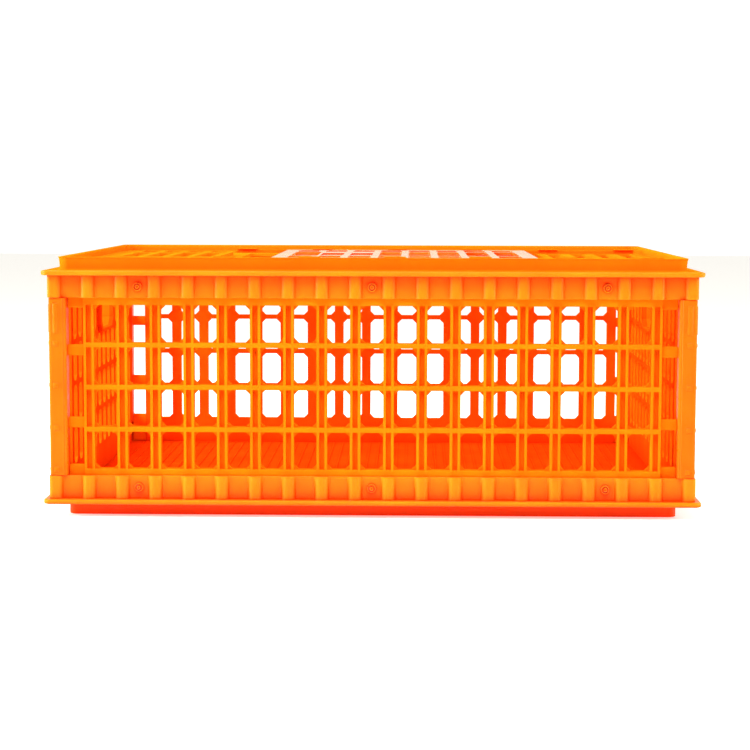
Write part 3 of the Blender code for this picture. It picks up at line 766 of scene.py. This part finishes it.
half_hold = HOLD_COLUMNS / 2 * END_PITCH - UPRIGHT_WIDTH / 2
hold_low = FIRST_ROW + (ROWS - 1) * ROW_PITCH
hold_high = hold_low + OPENING_HEIGHT
collar_y = (hold_low - COLLAR_WALL, hold_high + COLLAR_WALL)
collar_end = -PANEL_THICKNESS - COLLAR_REACH
collar_z = (collar_end, OVERLAP - PANEL_THICKNESS)
hole_z = (collar_end - OVERLAP, 0.0)
for name, x, turn in (("left", -panel_x, -90.0), ("right", panel_x, 90.0)):
    panel = grille(END_PITCH, END_BAYS - 2, inside_y, HOLD_COLUMNS, HOLD_CORNER)
    collar = chamfered_block(half_hold + COLLAR_WALL, collar_y, collar_z, HOLD_CORNER)
    hole = chamfered_block(half_hold, (hold_low, hold_high), hole_z, HOLD_CORNER)
    collar = carved(collar, hole, "DIFFERENCE")
    collar_edges = edges_where(collar, lambda along, middle: middle.z < collar_end + TOUCH)
    round_over(collar, collar_edges, COLLAR_ROUND, EDGE_SEGMENTS)
    panel = carved(panel, collar, "UNION")
    mark_inner_side(panel)
    stand_up(panel, x, 0.0, turn)
    cad_name = f"{name}_end_panel"
    finished(f"{name}_end_grille_moulding", panel, panel_surfaces, "panel_plastic", "crate", cad_name)


# Top frame: one moulding with a ribbed wall, a flange, an upright rim that flares a little at its edge, and
# a slotted deck inside the rim. Two rails with hooked clips hold the door down, and a stop meets its left
# edge. All that stands above the flange has the dull skin of a spark-eroded mould.
TOP_FLANGE_TOP = 281.5
RIM_INSET = 17.0
RIM_WALL = 4.0
RIM_CORNER = 12.0
RIM_SEGMENTS = 7
RIM_ROUND = 1.1
RIM_FOOT = ((1.0, -0.6), (2.0, -0.2), (4.0, 0.1))  # rise and move outwards of each stretch up to the deck
RIM_FLARE = ((4.0, 0.4), (2.4, 0.4), (1.6, 1.0))  # the same from the deck to the edge
DECK_TOP = 288.5
DECK_LOW = 284.5
DECK_BORDER_IN = 36.3  # flange edge to the ends of the slots
LEDGE_IN = 30.3  # flange edge to the inner edge of the ledge over the panels
SLOT_PITCH = 31.5
SLOT_WIDTH = 20.0
SLOT_CORNER = 3.0
SLOT_MARGIN = 12.0
HATCH_X = (-170.5, 114.5)
HATCH_HALF_WIDTH = 128.0
RAIL_INSIDE = 160.3
RAIL_LEG = 4.0
RAIL_LIP = 3.5
RAIL_TOP = 293.3
CLIPS = 6
CLIP_LENGTH = 26.0
CLIP_MARGIN = 1.0
CLIP_LOW = 293.1
CLIP_TOP = 294.7
RAIL_X = (-191.3, 342.0)
RAIL_ROUND = 0.7
STOP_X = (-191.3, -187.3)
STOP_HALF_LENGTH = 60.0
STOP_TOP = 292.8


def slot_middles(start, end):
    """The middles of the slots that fit between two values of X."""
    count = int((end - start - SLOT_WIDTH) // SLOT_PITCH) + 1
    return [(start + end) / 2 + (i - (count - 1) / 2) * SLOT_PITCH for i in range(count)]


top = bmesh.new()
block(top, (-HALF_LENGTH, HALF_LENGTH), (-HALF_WIDTH, HALF_WIDTH), (TOP_FLANGE_LOW, TOP_FLANGE_TOP))
deck = faces_where(top, lambda normal, middle: normal.z > ALIGNED)
inset(top, deck, RIM_INSET)
for rise, spread in RIM_FOOT:
    deck = pull(top, deck, outwards(spread, rise))
round_corners(top, half_plan(RIM_INSET), TOP_FLANGE_TOP, DECK_TOP, RIM_CORNER, RIM_SEGMENTS)
deck = faces_where(top, lambda normal, middle: normal.z > ALIGNED and middle.z > DECK_TOP - TOUCH)
rim = inset(top, deck, RIM_WALL)
for rise, spread in RIM_FLARE:
    rim = pull(top, rim, outwards(spread, rise))
underside = faces_where(top, lambda normal, middle: normal.z < -ALIGNED)
inset(top, underside, WALL_IN)
underside = pull(top, underside, to_height(TOP_WALL_LOW))
inset(top, underside, WALL)
underside = pull(top, underside, to_height(TOP_FLANGE_LOW))
inset(top, underside, LEDGE_IN - WALL_IN - WALL)
pull(top, underside, to_height(DECK_LOW))

slots = bmesh.new()
edge_x, edge_y = half_plan(DECK_BORDER_IN)
through = (DECK_LOW - 2 * OVERLAP, DECK_TOP + 2 * OVERLAP)
block(slots, HATCH_X, (-HATCH_HALF_WIDTH, HATCH_HALF_WIDTH), through)
inner_y = (SLOT_MARGIN / 2, RAIL_INSIDE - RAIL_LIP - SLOT_MARGIN / 2)
outer_y = (RAIL_INSIDE + RAIL_LEG + SLOT_MARGIN / 2, edge_y)
inner = slot_middles(-edge_x, STOP_X[0] - SLOT_MARGIN / 2) + slot_middles(HATCH_X[1] + SLOT_MARGIN, edge_x)
rows = [(x, inner_y) for x in inner] + [(x, outer_y) for x in slot_middles(-edge_x, edge_x)]
for x, (near, far) in rows:
    for y in ((-far, -near), (near, far)):
        block(slots, (x - SLOT_WIDTH / 2, x + SLOT_WIDTH / 2), y, through)
slot_uprights = edges_where(slots, lambda along, middle: abs(along.z) > ALIGNED)
round_over(slots, slot_uprights, SLOT_CORNER, EDGE_SEGMENTS)
top = carved(top, slots, "DIFFERENCE")

legs = bmesh.new()
clips = bmesh.new()
clip_pitch = (RAIL_X[1] - RAIL_X[0] - 2 * CLIP_MARGIN - CLIP_LENGTH) / (CLIPS - 1)
for side in (-1, 1):
    leg = sorted((side * RAIL_INSIDE, side * (RAIL_INSIDE + RAIL_LEG)))
    block(legs, RAIL_X, leg, (DECK_TOP - OVERLAP, RAIL_TOP))
    hook = sorted((side * (RAIL_INSIDE - RAIL_LIP), side * (RAIL_INSIDE + RAIL_LEG - RAIL_ROUND)))
    for clip in range(CLIPS):
        start = RAIL_X[0] + CLIP_MARGIN + clip * clip_pitch
        block(clips, (start, start + CLIP_LENGTH), hook, (CLIP_LOW, CLIP_TOP))
block(legs, STOP_X, (-STOP_HALF_LENGTH, STOP_HALF_LENGTH), (DECK_TOP - OVERLAP, STOP_TOP))
for shape in (legs, clips):
    upper_edges = edges_where(shape, lambda along, middle: middle.z > STOP_TOP - TOUCH)
    round_over(shape, upper_edges, RAIL_ROUND, FINE_SEGMENTS)
    top = carved(top, shape, "UNION")

raise_ribs(top, TOP_WALL_LOW, TOP_FLANGE_LOW)
round_corners(top, half_plan(0.0), TOP_FLANGE_LOW, TOP_FLANGE_TOP, FLANGE_CORNER, PLAN_SEGMENTS)
rim_top = DECK_TOP + sum(rise for rise, spread in RIM_FLARE)
top_flange = edges_where(top, flange_edge(TOP_FLANGE_LOW, TOP_FLANGE_TOP))
round_over(top, top_flange, FLANGE_ROUND, EDGE_SEGMENTS)
rim_edges = edges_where(top, lambda along, middle: middle.z > rim_top - TOUCH)
round_over(top, rim_edges, RIM_ROUND, EDGE_SEGMENTS)
round_over(top, edges_where(top, wall_edge(TOP_WALL_LOW, True)), RIB_TIP, EDGE_SEGMENTS)
round_over(top, edges_where(top, wall_edge(TOP_WALL_LOW, False)), INNER_EDGE_ROUND, FINE_SEGMENTS)
for face in top.faces:
    face.material_index = 1 if face.calc_center_median().z > TOP_FLANGE_TOP - TOUCH else 0
# The wall and flange have the base's faint, waxy shine.
top_plastic = moulded_polyethylene(
    "top_moulded_polyethylene",
    colours=("#F46A08", "#FF7E0A", "#E84404"),
    roughness=(0.3, 0.46),
    peel_depth=0.05,
    shine=0.06,
)
# A spark-eroded mould leaves a fine, even roughness, which shows flat colour and reflects nothing.
deck_plastic = moulded_polyethylene(
    "spark_eroded_polyethylene",
    colours=("#F66C08", "#FF7C0A", "#F26008"),
    roughness=(0.7, 0.85),
    peel_depth=0.1,
    shine=0.0,
)
finished("top_frame_moulding", top, (top_plastic, deck_plastic), "frame_plastic", "crate", "top_frame")


# Locking pins: twelve push-in pins of a slightly harder plastic, three along each long side of each frame.
# Each has a low head with a ring groove and a gate dimple. Its shank goes through the wall into the panel.
PIN_HEAD = 5.0  # radius
PIN_SHANK = 3.0  # radius
PIN_BAYS = (2, 9, 16)  # counted from the left
PIN_PROUD = 4.0  # how far the head stands out from the wall
PIN_DEPTH = 13.3
PIN_TIP = 1.0  # chamfer at the shank's end
PIN_SIDES = 32
PIN_LEVELS = (("base", (FLOOR_TOP + BASE_WALL_TOP) / 2), ("top", (TOP_WALL_LOW + TOP_FLANGE_LOW) / 2))
PIN_PROFILE = (  # distance from the axis, and height over the wall's face
    (0.0, PIN_PROUD - 1.4),
    (0.7, PIN_PROUD - 1.3),
    (1.2, PIN_PROUD),
    (2.0, PIN_PROUD - 0.1),
    (2.6, PIN_PROUD - 2.0),
    (3.8, PIN_PROUD - 2.0),
    (4.1, PIN_PROUD - 0.4),
    (4.6, PIN_PROUD - 0.4),
    (PIN_HEAD, PIN_PROUD - 0.9),
    (PIN_HEAD, 0.0),
    (PIN_SHANK, 0.0),
    (PIN_SHANK, PIN_TIP - PIN_DEPTH),
    (PIN_SHANK - PIN_TIP, -PIN_DEPTH),
    (0.0, -PIN_DEPTH),
)

# A polished mould gives the pins a small glint. Their groove shows as a dark ring, from its own shadow and
# from painted shade in the darker third colour.
pin_plastic = moulded_polyethylene(
    "pin_moulded_polyethylene",
    colours=("#FA7608", "#FF880A", "#D43E02"),
    roughness=(0.26, 0.4),
    peel_depth=0.03,
    shine=0.12,
)
for level, height in PIN_LEVELS:
    for side, sign, turn in (("front", -1, 0.0), ("rear", 1, math.pi)):
        for number, bay in enumerate(PIN_BAYS, 1):
            pin = bmesh.new()
            line = [pin.verts.new((radius, 0.0, rise)) for radius, rise in PIN_PROFILE]
            edges = [pin.edges.new(pair) for pair in zip(line, line[1:])]
            bmesh.ops.spin(
                pin,
                geom=line + edges,
                cent=(0.0, 0.0, 0.0),
                axis=(0.0, 0.0, 1.0),
                angle=2 * math.pi,
                steps=PIN_SIDES,
                use_merge=True,
            )
            bmesh.ops.remove_doubles(pin, verts=pin.verts, dist=CUT_TOUCH)
            bmesh.ops.recalc_face_normals(pin, faces=pin.faces)
            pin_x = (bay + 0.5 - SIDE_BAYS / 2) * SIDE_PITCH
            face_out = Matrix.Rotation(turn, 4, "Z") @ Matrix.Rotation(math.pi / 2, 4, "X")
            place = Matrix.Translation((pin_x, sign * wall_y, height)) @ face_out
            bmesh.ops.transform(pin, matrix=place, verts=pin.verts)
            node_name = f"{level}_{side}_pin_{number}"
            finished(f"{node_name}_moulding", pin, (pin_plastic,), "pin_plastic", "crate", node_name)


# Sliding door: a flat barred moulding that lies on the deck under the two rails and covers the hatch. Its
# hand-hole is near the left edge, beside a plain finger plate.
DOOR_REST_X = 36.0
DOOR_HALF_LENGTH = 159.0
DOOR_HALF_WIDTH = 160.0
DOOR_TOP = 292.8
DOOR_THICKNESS = 4.0
DOOR_CORNER = 8.0
DOOR_ROUND = 0.7
DOOR_BORDER = 18.0
DOOR_BARS = 7
DOOR_BAR_WIDTH = 9.0
DOOR_RAIL_WIDTH = 8.0
HAND_HOLE_WIDTH = 33.0
HAND_HOLE_HALF_LENGTH = 73.5
PLATE_BARS = 3  # bars that the finger plate takes up
PLATE_BAND = 45.0  # width of the plate's raised grip, behind its pockets
POCKET_DEPTH = 2.0

door_left = DOOR_BORDER - DOOR_HALF_LENGTH
door_slot = (-2 * door_left - DOOR_BARS * DOOR_BAR_WIDTH) / (DOOR_BARS + 1)
slot_starts = [door_left + i * (door_slot + DOOR_BAR_WIDTH) for i in range(DOOR_BARS + 1)]
door_columns = [edge for start in slot_starts for edge in (start, start + door_slot)]
door_columns = sorted([-DOOR_HALF_LENGTH, *door_columns, door_left + HAND_HOLE_WIDTH, DOOR_HALF_LENGTH])
rail_y = HAND_HOLE_HALF_LENGTH + DOOR_RAIL_WIDTH
door_rows = [HAND_HOLE_HALF_LENGTH, rail_y, DOOR_HALF_WIDTH - DOOR_BORDER, DOOR_HALF_WIDTH]
door_rows = [-y for y in reversed(door_rows)] + [HAND_HOLE_HALF_LENGTH - PLATE_BAND] + door_rows


def door_is_open(point):
    """Test for the door's slots and its hand-hole."""
    slot = [i for i, start in enumerate(slot_starts) if start < point.x < start + door_slot]
    if abs(point.y) < HAND_HOLE_HALF_LENGTH:
        in_hand_hole = door_left < point.x < door_left + HAND_HOLE_WIDTH
        return in_hand_hole or bool(slot) and slot[0] >= PLATE_BARS
    return bool(slot) and rail_y < abs(point.y) < DOOR_HALF_WIDTH - DOOR_BORDER


door = bmesh.new()
cut_sheet(door, door_columns, door_rows, 0.0)
opened = [face for face in door.faces if door_is_open(face.calc_center_median())]
bmesh.ops.delete(door, geom=opened, context="FACES")
bmesh.ops.solidify(door, geom=door.faces[:], thickness=DOOR_THICKNESS)


def in_pocket(normal, middle):
    """Test for the finger plate's pockets, which lie between the bars that run on over it."""
    slot = [i for i, start in enumerate(slot_starts) if start < middle.x < start + door_slot]
    on_plate = bool(slot) and 0 < slot[0] < PLATE_BARS and middle.x > door_left + HAND_HOLE_WIDTH
    lengthways = -HAND_HOLE_HALF_LENGTH < middle.y < HAND_HOLE_HALF_LENGTH - PLATE_BAND
    return normal.z > ALIGNED and on_plate and lengthways


def door_corner(along, middle):
    """Test for the upright edges at the door's own corners."""
    off = max(abs(abs(middle.x) - DOOR_HALF_LENGTH), abs(abs(middle.y) - DOOR_HALF_WIDTH))
    return abs(along.z) > ALIGNED and off < TOUCH


def slot_corner(along, middle):
    """Test for the upright edges in the door's slots and hand-hole."""
    return abs(along.z) > ALIGNED and abs(middle.x) < DOOR_HALF_LENGTH - DOOR_BORDER / 2


round_over(door, edges_where(door, door_corner), DOOR_CORNER, CORNER_SEGMENTS)
round_over(door, edges_where(door, slot_corner), SLOT_CORNER, EDGE_SEGMENTS)
door.normal_update()
for face in bmesh.ops.extrude_discrete_faces(door, faces=faces_where(door, in_pocket))["faces"]:
    bmesh.ops.translate(door, verts=face.verts, vec=(0.0, 0.0, -POCKET_DEPTH))
round_over(door, edges_where(door, lambda along, middle: middle.z > -TOUCH), DOOR_ROUND, FINE_SEGMENTS)
door_back = -DOOR_THICKNESS + TOUCH
round_over(door, edges_where(door, lambda along, middle: middle.z < door_back), DOOR_ROUND, FINE_SEGMENTS)
bmesh.ops.translate(door, verts=door.verts, vec=(DOOR_REST_X, 0.0, DOOR_TOP))
# A polished mould gives the flat door a gloss in which the white surround shows.
door_plastic = moulded_polyethylene(
    "door_moulded_polyethylene",
    colours=("#F4660A", "#FF7A0C", "#E84404"),
    roughness=(0.16, 0.32),
    peel_depth=0.03,
    shine=0.5,
)
finished("sliding_door_moulding", door, (door_plastic,), "door_plastic", "door", "sliding_door")


# Studio: a plain table of matt white paper that glows a little, under a surround that is white behind the
# crate and dim in front of it. A soft light hangs high above the front, with a strip light on each side.
FLOOR_SIZE = 9.0  # metres, as are the lights' places and sizes
FLOOR_ROUGHNESS = 0.8
FLOOR_GLOW = 0.45
SURROUND_BEHIND = 1.15
SURROUND_BEFORE = 0.12
SURROUND_FADE = (-0.3, 0.75)  # how far a direction points to the rear where the fade starts and ends
KEY_PLACE = (-0.3, -1.6, 2.4)
KEY_TARGET = (0.0, 0.0, 0.15)
KEY_SIZE = (1.8, 1.4)
KEY_POWER = 92.0
STRIPS = (("left_strip", -2.4, 130.0), ("right_strip", 2.4, 64.0))  # name, place in X and power
STRIP_Y = -0.5
STRIP_Z = 0.9
STRIP_TARGET = (0.0, -0.2, 0.15)
STRIP_SIZE = (0.35, 1.3)

ground = bmesh.new()
bmesh.ops.create_grid(ground, x_segments=1, y_segments=1, size=FLOOR_SIZE)
ground_mesh = bpy.data.meshes.new("pale_floor")
ground.to_mesh(ground_mesh)
ground.free()
paper = bpy.data.materials.new("matt_white_paper")
paper.use_nodes = True
paper_shader = paper.node_tree.nodes["Principled BSDF"]
paper_shader.inputs["Base Color"].default_value = linear("#F7F4EE")
paper_shader.inputs["Roughness"].default_value = FLOOR_ROUGHNESS
paper_shader.inputs["Emission Color"].default_value = linear("#FFFDF8")
paper_shader.inputs["Emission Strength"].default_value = FLOOR_GLOW
ground_mesh.materials.append(paper)
pale_floor = bpy.data.objects.new("pale_floor", ground_mesh)
bpy.context.scene.collection.objects.link(pale_floor)

world = bpy.data.worlds.new("white_surround")
world.use_nodes = True
surround = world.node_tree
background = surround.nodes["Background"]
background.inputs["Color"].default_value = linear("#FFFEFA")
sight = node(surround, "ShaderNodeTexCoord", {}, {}).outputs["Generated"]
towards = node(surround, "ShaderNodeSeparateXYZ", {}, {"Vector": sight})
fade = {"interpolation_type": "SMOOTHSTEP", "From Min": SURROUND_FADE[0], "From Max": SURROUND_FADE[1]}
fade |= {"To Min": SURROUND_BEFORE, "To Max": SURROUND_BEHIND}
brightness = node(surround, "ShaderNodeMapRange", fade, {"Value": towards.outputs["Y"]})
surround.links.new(brightness.outputs["Result"], background.inputs["Strength"])
bpy.context.scene.world = world


def soft_light(name, place, target, size, power):
    """A soft light of a width and height that faces a point."""
    lamp = bpy.data.lights.new(name, "AREA")
    lamp.shape = "RECTANGLE"
    lamp.size, lamp.size_y = size
    lamp.energy = power
    made = bpy.data.objects.new(name, lamp)
    made.location = place
    made.rotation_euler = (Vector(target) - Vector(place)).to_track_quat("-Z", "Y").to_euler()
    bpy.context.scene.collection.objects.link(made)


soft_light("key_softbox", KEY_PLACE, KEY_TARGET, KEY_SIZE, KEY_POWER)
for name, x, power in STRIPS:
    soft_light(name, (x, STRIP_Y, STRIP_Z), STRIP_TARGET, STRIP_SIZE, power)


# Camera: the photograph's own, found from the places of the ribs and bars. It stands in front, a little to
# the right and above the rim, and looks slightly down.
CAMERA_PLACE = (47.5, -2445.3, 371.0)
CAMERA_SENSOR = 36.0
CAMERA_LENS = 92.7
CAMERA_PITCH = 5.423  # degrees down
CAMERA_YAW = 1.152  # degrees to the left
CAMERA_ROLL = 0.15  # degrees

lens = bpy.data.cameras.new("photo_camera")
lens.lens = CAMERA_LENS
lens.sensor_width = CAMERA_SENSOR
camera = bpy.data.objects.new("photo_camera", lens)
level = Matrix.Rotation(math.radians(CAMERA_YAW), 4, "Z")
turned = level @ Matrix.Rotation(math.radians(90 - CAMERA_PITCH), 4, "X")
rolled = Matrix.Rotation(math.radians(CAMERA_ROLL), 4, "Z")
camera.matrix_world = Matrix.Translation(Vector(CAMERA_PLACE) * MM) @ turned @ rolled
bpy.context.scene.collection.objects.link(camera)
bpy.context.scene.camera = camera
bpy.context.scene.view_settings.view_transform = "Standard"
